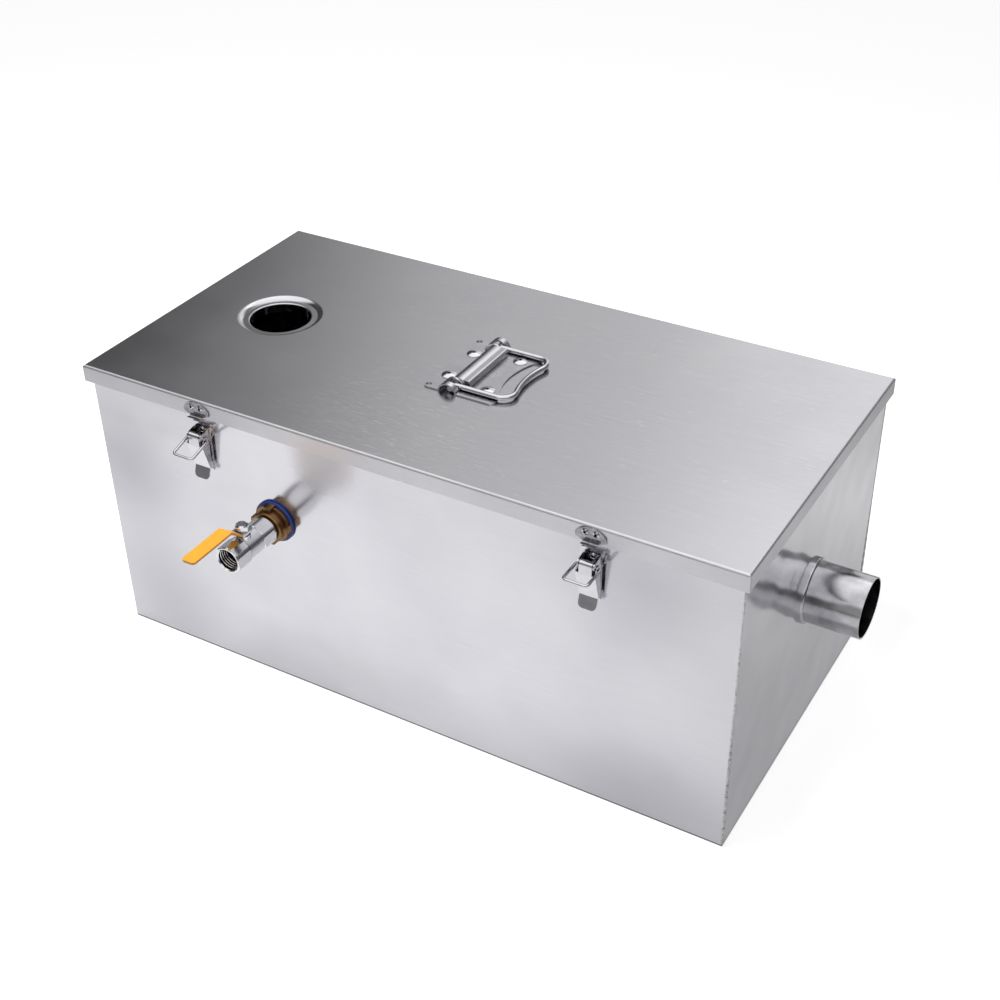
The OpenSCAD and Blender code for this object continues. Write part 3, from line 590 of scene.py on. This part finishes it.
def sweep(name, points, radii, material, body, closed=False, sides=10):
    """A round bead that follows points, with its own radius at each of them."""
    mesh = bmesh.new()
    count = len(points)
    rings = []
    last = turn = None
    for i, point in enumerate(points):
        if closed:
            ahead = points[(i + 1) % count] - points[i - 1]
        else:
            ahead = points[min(i + 1, count - 1)] - points[max(i - 1, 0)]
        if last is None:
            turn = ahead.to_track_quat("Z", "Y")
        else:
            turn = last.rotation_difference(ahead) @ turn
        last = ahead
        ring = []
        for k in range(sides):
            a = 2 * math.pi * k / sides
            spoke = Vector((math.cos(a), math.sin(a), 0))
            ring.append(mesh.verts.new(point + turn @ spoke * radii[i]))
        rings.append(ring)
    for i in range(count if closed else count - 1):
        near, far = rings[i], rings[(i + 1) % count]
        for k in range(sides):
            j = (k + 1) % sides
            mesh.faces.new((near[k], near[j], far[j], far[k]))
    if not closed:
        mesh.faces.new(list(reversed(rings[0])))
        mesh.faces.new(rings[-1])
    bmesh.ops.recalc_face_normals(mesh, faces=mesh.faces)
    data = bpy.data.meshes.new(name)
    mesh.to_mesh(data)
    mesh.free()
    for face in data.polygons:
        face.use_smooth = True
    data.materials.append(material)
    piece = bpy.data.objects.new(name, data)
    bpy.context.scene.collection.objects.link(piece)
    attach(piece, body)


class TRAP_OT_sheet_work(bpy.types.Operator):
    """Brushed sheet and its seals: tank, lid, baffles and basket"""

    bl_idname = "trap.sheet_work"
    bl_label = "Sheet Work"

    def execute(self, context):
        finish = context.scene.trap_finish
        # Brushed stainless of the lid: a faint grain along the trap, short scuffs, broad soft
        # reflections.
        lid = brushed_sheet(
            "brushed_stainless",
            finish,
            "X",
            roughness=0.21,
            depth=0.16,
            wave=0.1 * MM,
            scuffed=(-0.03, -0.11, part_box("lid_pan")[1].z),
        )
        dress(lid, "lid_pan")
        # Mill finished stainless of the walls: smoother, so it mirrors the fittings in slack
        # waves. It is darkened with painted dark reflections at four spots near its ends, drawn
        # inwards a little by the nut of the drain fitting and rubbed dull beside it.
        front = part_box("tank_wrap")[0].y
        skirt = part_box("lid_pan")[0].z
        drain_x, _, drain_z = mount("drain")["pos_m"]
        wall = brushed_sheet(
            "mill_stainless_wall",
            finish,
            "X",
            roughness=0.18,
            depth=0.12,
            wave=2.5 * MM,
            painted_reflection=(
                ((-0.27, front, 0.17), 0.0, 85 * MM, 0.7),
                ((-0.255, front, 0.06), 0.0, 100 * MM, 0.6),
                ((0.215, front, 0.235), 0.0, 100 * MM, 0.5),
                ((0.22, front, 0.02), 0.0, 110 * MM, 0.5),
            ),
            pulled=(drain_x, front, drain_z),
            rubbed=(drain_x + 50 * MM, front, skirt - 6 * MM),
        )
        dress(wall, "tank_wrap", "tank_floor")
        # The outlet end and the inner plates are cut across the coil, so their grain is upright.
        end = brushed_sheet(
            "mill_stainless_end", finish, "Z", roughness=0.17, depth=0.12, wave=4 * MM
        )
        dress(
            end,
            "outlet_end",
            "inlet_baffle",
            "outlet_baffle",
            "basket_ledges",
            "strainer_basket",
            "basket_strap",
        )
        # Black rubber: the sealing strip under the lid and the washer inside the wall, matt and
        # a little uneven.
        rubber = moulded(
            "black_rubber",
            finish.rubber,
            finish.rubber_low,
            patch=4 * MM,
            roughness=0.6,
            relief=0.1,
        )
        dress(rubber, "lid_gasket", "inner_washer")
        return {"FINISHED"}


class TRAP_OT_pipe_and_collar(bpy.types.Operator):
    """Outlet pipe and inlet collar"""

    bl_idname = "trap.pipe_and_collar"
    bl_label = "Pipe and Collar"

    def execute(self, context):
        finish = context.scene.trap_finish
        # Polished stainless of the collar: clear mirror with faint clouds left by the buffing
        # wheel.
        polish = worked_metal(
            "polished_stainless",
            finish.polished,
            finish.sheet_dull,
            patch=25 * MM,
            roughness=0.13,
            spread=0.08,
            relief=0.03,
        )
        dress(polish, "inlet_collar")
        # Drawn stainless of the tube: polished, with darker clouds between the brighter parts,
        # which are painted dark reflections.
        tube = worked_metal(
            "drawn_stainless",
            finish.tube,
            finish.tube_dark_reflection,
            patch=16 * MM,
            roughness=0.1,
            spread=0.08,
            relief=0.08,
        )
        dress(tube, "outlet_pipe")
        return {"FINISHED"}


class TRAP_OT_hardware(bpy.types.Operator):
    """Plated draw latches and chest handle with their rivets"""

    bl_idname = "trap.hardware"
    bl_label = "Latches and Handle"

    def execute(self, context):
        finish = context.scene.trap_finish
        # Nickel plated pressed steel: bright, with hard dark reflections, a little waviness and
        # painted shade in its corners.
        plate = worked_metal(
            "nickel_plated_steel",
            finish.plated,
            finish.sheet_dull,
            patch=6 * MM,
            roughness=0.1,
            spread=0.08,
            relief=0.06,
            shade_and_burn=finish.shade_and_burn,
        )
        groups = ("latch_base", "latch_pin", "latch_lever", "latch_loop")
        dress(plate, *[group + "_" + corner for group in groups for corner in CORNERS])
        dress(plate, "catch_rivets", "base_rivets", "handle_rivets", "handle_bail")
        # Nickel of the catches: painted darker in spots than the skirt behind them, as painted
        # dark reflections, and a little beaten, so that their edges stand out and their
        # reflections break up. It also takes painted shade in its corners.
        catch_reflection = worked_metal(
            "nickel_painted_reflection",
            finish.catch_reflection,
            finish.catch_reflection_dark,
            patch=3.5 * MM,
            roughness=0.12,
            spread=0.1,
            relief=0.5,
            shade_and_burn=finish.shade_and_burn,
        )
        dress(catch_reflection, *["catch_" + corner for corner in CORNERS])
        # Satin stainless of the handle plate: pressed sheet, with softer reflections than the bail
        # on it, and painted shade in its corners.
        satin = worked_metal(
            "satin_stainless",
            finish.sheet,
            finish.sheet_dull,
            patch=12 * MM,
            roughness=0.2,
            spread=0.1,
            relief=0.06,
            shade_and_burn=finish.shade_and_burn,
        )
        dress(satin, "handle_plate")
        return {"FINISHED"}


class TRAP_OT_drain_valve(bpy.types.Operator):
    """Drain valve: chrome body, brass nut, blue washer, vinyl lever and the thread in its mouth"""

    bl_idname = "trap.drain_valve"
    bl_label = "Drain Valve"

    def execute(self, context):
        finish = context.scene.trap_finish
        seams = context.scene.trap_seams
        mouth = mount("drain")
        centre = Vector(mouth["pos_m"])
        radius = mouth["dims"]["r_mm"] * MM
        depth = mouth["dims"]["length_mm"] * MM
        # Chrome plated brass: the clearest mirror on the part, with painted shade in its corners
        # and, on the body, painted shade inside its bore between the threads.
        plating = {
            "tint": finish.chrome,
            "tint_low": finish.plated,
            "patch": 8 * MM,
            "roughness": 0.06,
            "spread": 0.05,
            "relief": 0.04,
            "shade_and_burn": finish.shade_and_burn,
        }
        chrome = worked_metal("chrome_plated_brass", **plating)
        dress(chrome, "valve_tail", "gland_nut", "valve_ball", "valve_stem", "lever_nut")
        body = worked_metal("chrome_plated_body", **plating, bore=(centre, radius + 0.1 * MM))
        dress(body, "valve_body")
        # Bare brass: turned, handled and tarnished brown in the hollows.
        brass = worked_metal(
            "bare_brass",
            finish.brass,
            finish.brass_dark,
            patch=5 * MM,
            roughness=0.25,
            spread=0.2,
            relief=0.1,
        )
        dress(brass, "nipple", "locknut")
        # Blue rubber: a moulded washer, dull and a little uneven.
        washer = moulded(
            "blue_rubber",
            finish.washer,
            finish.washer_low,
            patch=5 * MM,
            roughness=0.45,
            relief=0.1,
        )
        dress(washer, "wall_washer")
        # White PTFE: waxy turned seats.
        seat = moulded(
            "white_ptfe",
            finish.seat,
            finish.seat_low,
            patch=3 * MM,
            roughness=0.4,
            relief=0.05,
        )
        dress(seat, "ball_seats")
        # Plated steel dipped in vinyl: the bare hub is bright, the grip warm yellow with a soft
        # gloss.
        joints = frame["record"]["behaviour"]["joints"]
        stem = next(j for j in joints if j["name"] == "drain_turn")
        sleeve_end = stem["pos_m"][1] - 7 * MM
        dress(dipped_lever("vinyl_dipped_steel", finish, sleeve_end), "valve_lever")
        # Chrome on the crests of the thread: handled bright, a little duller than the body.
        crest = worked_metal(
            "chrome_plated_thread",
            finish.chrome,
            finish.plated,
            patch=4 * MM,
            roughness=0.18,
            spread=0.06,
            relief=0.04,
        )
        steps = 40
        turns = depth / seams.pitch - 1
        points = []
        for i in range(int(turns * steps) + 1):
            angle = 2 * math.pi * i / steps
            x = centre.x + radius * math.cos(angle)
            y = centre.y - depth / 2 + seams.pitch * (0.5 + i / steps)
            z = centre.z + radius * math.sin(angle)
            points.append(Vector((x, y, z)))
        radii = [seams.thread] * len(points)
        sweep("mouth_thread", points, radii, crest, "tank", sides=6)
        return {"FINISHED"}


class TRAP_OT_welds(bpy.types.Operator):
    """Weld beads up the outlet corners and round the outlet pipe"""

    bl_idname = "trap.welds"
    bl_label = "Weld Beads"

    def execute(self, context):
        finish = context.scene.trap_finish
        seams = context.scene.trap_seams
        # Weld bead, brushed off: rippled, brighter than the sheet and rougher.
        bead = worked_metal(
            "weld_bead",
            finish.polished,
            finish.sheet_dull,
            patch=1.6 * MM,
            roughness=0.28,
            spread=0.2,
            relief=0.3,
        )
        # Raw weld bead of the corners: left as welded, bright crests between burnt pits.
        raw = worked_metal(
            "raw_weld_bead",
            finish.bright,
            finish.shade_and_burn,
            patch=2.2 * MM,
            roughness=0.2,
            spread=0.2,
            relief=0.5,
        )
        low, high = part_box("outlet_end")
        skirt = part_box("lid_pan")[0].z
        sunk, end_gap, steps = 0.3 * MM, 2 * MM, 6
        for side, y in (("front", low.y), ("back", high.y)):
            points, radii = [], []
            z = low.z + end_gap
            while z < skirt - end_gap:
                # Smooth below the skirt, and rougher from a third of the way down.
                share = (skirt - z) / (skirt - low.z)
                rough = min(1, max(0, (share - 0.35) / 0.3))
                ripple = math.sin(2 * math.pi * z / seams.ripple)
                wave = ripple + 0.6 * math.sin(z / MM * 0.71 + 1.3)
                points.append(Vector((high.x - sunk, y + math.copysign(sunk, -y), z)))
                radii.append(seams.bead * (0.8 + rough * (0.45 + 0.25 * wave)))
                z += seams.ripple / steps
            sweep("corner_bead_" + side, points, radii, raw, "tank", sides=8)
        outlet = mount("outlet")
        centre = Vector((high.x, 0, outlet["pos_m"][2]))
        around = outlet["dims"]["r_mm"] * MM + 0.2 * MM
        ripples = round(2 * math.pi * around / seams.ripple)
        count = 320
        points, radii = [], []
        for i in range(count):
            angle = 2 * math.pi * i / count
            points.append(centre + Vector((0, math.cos(angle), math.sin(angle))) * around)
            uneven = 0.1 * math.sin(ripples * angle) + 0.08 * math.sin(9 * angle + 1)
            radii.append(seams.pipe_bead * (1 + uneven))
        sweep("pipe_bead", points, radii, bead, "tank", closed=True)
        return {"FINISHED"}


def lay_floor(scene, stage):
    """Pale floor: its own light keeps it white to the eye, and it takes the shadow."""
    paper, tree = blank_material("pale_floor")
    path = put(tree, "ShaderNodeLightPath")
    lit = put(tree, "ShaderNodeBsdfDiffuse", inputs={"Color": stage.floor})
    place = put(tree, "ShaderNodeTexCoord").outputs["Object"]
    near = closeness(tree, place, (0, 0, 0), FLOOR_NEAR, FLOOR_FAR, FLOOR_TO_METAL)
    mirrored = put(
        tree,
        "ShaderNodeMath",
        {"operation": "MULTIPLY_ADD"},
        {0: path.outputs["Is Glossy Ray"], 1: near, 2: FLOOR_TO_ALL},
    )
    lift = put(
        tree,
        "ShaderNodeMath",
        {"operation": "MULTIPLY_ADD"},
        {0: path.outputs["Is Camera Ray"], 1: FLOOR_TO_EYE, 2: mirrored.outputs["Value"]},
    )
    glow = put(
        tree,
        "ShaderNodeEmission",
        inputs={"Color": WHITE, "Strength": lift.outputs["Value"]},
    )
    both = put(
        tree, "ShaderNodeAddShader", inputs={0: lit.outputs["BSDF"], 1: glow.outputs["Emission"]}
    )
    surface(tree, both.outputs["Shader"])
    sheet = bpy.data.meshes.new("floor")
    half, under = 4.0, -0.3 * MM
    sheet.from_pydata(
        [(-half, -half, under), (half, -half, under), (half, half, under), (-half, half, under)],
        [],
        [(0, 1, 2, 3)],
    )
    sheet.materials.append(paper)
    floor = bpy.data.objects.new("floor", sheet)
    scene.collection.objects.link(floor)


def light_studio(scene):
    """Studio: white to the eye, and lit behind the trap, falling away in steps to the left.

    Metal also sees two soft cards: one in front, whose edge drops to the right, and one overhead.
    """
    world = bpy.data.worlds.new("studio")
    scene.world = world
    world.use_nodes = True
    tree = world.node_tree
    tree.nodes.clear()
    compass = put(tree, "ShaderNodeTexCoord").outputs["Generated"]
    way = put(tree, "ShaderNodeSeparateXYZ", inputs={"Vector": compass})
    light = {}
    for name, (axis, *step) in STUDIO.items():
        light[name] = put(
            tree,
            "ShaderNodeMapRange",
            inputs={"Value": way.outputs[axis], **dict(zip(SPAN, step))},
        ).outputs["Result"]
    fall = put(
        tree, "ShaderNodeMath", {"operation": "ADD"}, {0: light["left"], 1: light["middle"]}
    )
    for name in ("right", "along", "above"):
        fall = put(
            tree,
            "ShaderNodeMath",
            {"operation": "MULTIPLY"},
            {0: fall.outputs["Value"], 1: light[name]},
        )
    edge = put(
        tree, "ShaderNodeMath", {"operation": "ADD"}, {0: way.outputs["Z"], 1: light["card_drop"]}
    )
    raised = put(
        tree,
        "ShaderNodeMapRange",
        inputs={"Value": edge.outputs["Value"], **dict(zip(SPAN, CARD_EDGE))},
    )
    card = put(
        tree,
        "ShaderNodeMath",
        {"operation": "MULTIPLY"},
        {0: light["front_card"], 1: raised.outputs["Result"]},
    )
    cards = put(
        tree,
        "ShaderNodeMath",
        {"operation": "MAXIMUM"},
        {0: card.outputs["Value"], 1: light["overhead_card"]},
    )
    path = put(tree, "ShaderNodeLightPath")
    shown = put(
        tree,
        "ShaderNodeMath",
        {"operation": "MULTIPLY_ADD"},
        {0: cards.outputs["Value"], 1: path.outputs["Is Glossy Ray"], 2: fall.outputs["Value"]},
    )
    room = put(
        tree,
        "ShaderNodeBackground",
        inputs={"Strength": shown.outputs["Value"], "Color": WHITE},
    )
    white = put(tree, "ShaderNodeBackground", inputs={"Strength": 1.0, "Color": WHITE})
    seen = put(
        tree,
        "ShaderNodeMixShader",
        inputs={
            0: path.outputs["Is Camera Ray"],
            1: room.outputs["Background"],
            2: white.outputs["Background"],
        },
    )
    put(tree, "ShaderNodeOutputWorld", inputs={"Surface": seen.outputs["Shader"]})


def hang_softbox(scene, stage):
    """Overhead softbox, which lights the trap and casts its shadow but isn't mirrored."""
    light = bpy.data.lights.new("softbox", "AREA")
    light.shape = "RECTANGLE"
    light.size = 0.85
    light.size_y = 0.42
    light.energy = stage.key
    lamp = bpy.data.objects.new("softbox", light)
    lamp.location = (-0.2, -0.18, 0.95)
    lamp.visible_camera = False
    lamp.visible_glossy = False
    scene.collection.objects.link(lamp)


def set_camera(scene, stage):
    """Camera that looks down on the front and the outlet end."""
    view = bpy.data.cameras.new("camera")
    view.sensor_width = 36
    view.lens = stage.lens
    camera = bpy.data.objects.new("camera", view)
    ahead = Vector((-0.4212, 0.7089, -0.5658)).normalized()
    right = Vector((0.8647, 0.5021, -0.0146))
    up = right.cross(ahead).normalized()
    right = ahead.cross(up)
    turn = Matrix((right, up, -ahead)).transposed().to_4x4()
    camera.matrix_world = Matrix.Translation(stage.eye) @ turn
    scene.collection.objects.link(camera)
    scene.camera = camera


class TRAP_OT_stage(bpy.types.Operator):
    """Floor, studio, soft lamp and camera"""

    bl_idname = "trap.stage"
    bl_label = "Stage"

    def execute(self, context):
        scene = context.scene
        stage = scene.trap_stage
        scene.view_settings.view_transform = "Standard"
        lay_floor(scene, stage)
        light_studio(scene)
        hang_softbox(scene, stage)
        set_camera(scene, stage)
        return {"FINISHED"}


SETTINGS = {
    "trap_finish": TrapFinishSettings,
    "trap_seams": TrapSeamSettings,
    "trap_stage": TrapStageSettings,
}
OPERATORS = (
    TRAP_OT_sheet_work,
    TRAP_OT_pipe_and_collar,
    TRAP_OT_hardware,
    TRAP_OT_drain_valve,
    TRAP_OT_welds,
    TRAP_OT_stage,
)


class TRAP_PT_panel(bpy.types.Panel):
    """Lists the settings and the pieces of the grease trap"""

    bl_idname = "TRAP_PT_panel"
    bl_label = "Grease Trap"
    bl_space_type = "VIEW_3D"
    bl_region_type = "UI"
    bl_category = "Grease Trap"

    def draw(self, context):
        for group in SETTINGS:
            settings = getattr(context.scene, group)
            column = self.layout.column()
            for key in settings.__annotations__:
                column.prop(settings, key)
        for operator in OPERATORS:
            self.layout.operator(operator.bl_idname)


CLASSES = (*SETTINGS.values(), *OPERATORS, TRAP_PT_panel)


def register():
    for cls in CLASSES:
        bpy.utils.register_class(cls)
    for key, cls in SETTINGS.items():
        setattr(bpy.types.Scene, key, PointerProperty(type=cls))


def unregister():
    for key in SETTINGS:
        delattr(bpy.types.Scene, key)
    for cls in reversed(CLASSES):
        bpy.utils.unregister_class(cls)


def main():
    register()
    for operator in OPERATORS:
        group, name = operator.bl_idname.split(".")
        getattr(getattr(bpy.ops, group), name)()


if __name__ == "__main__":
    main()
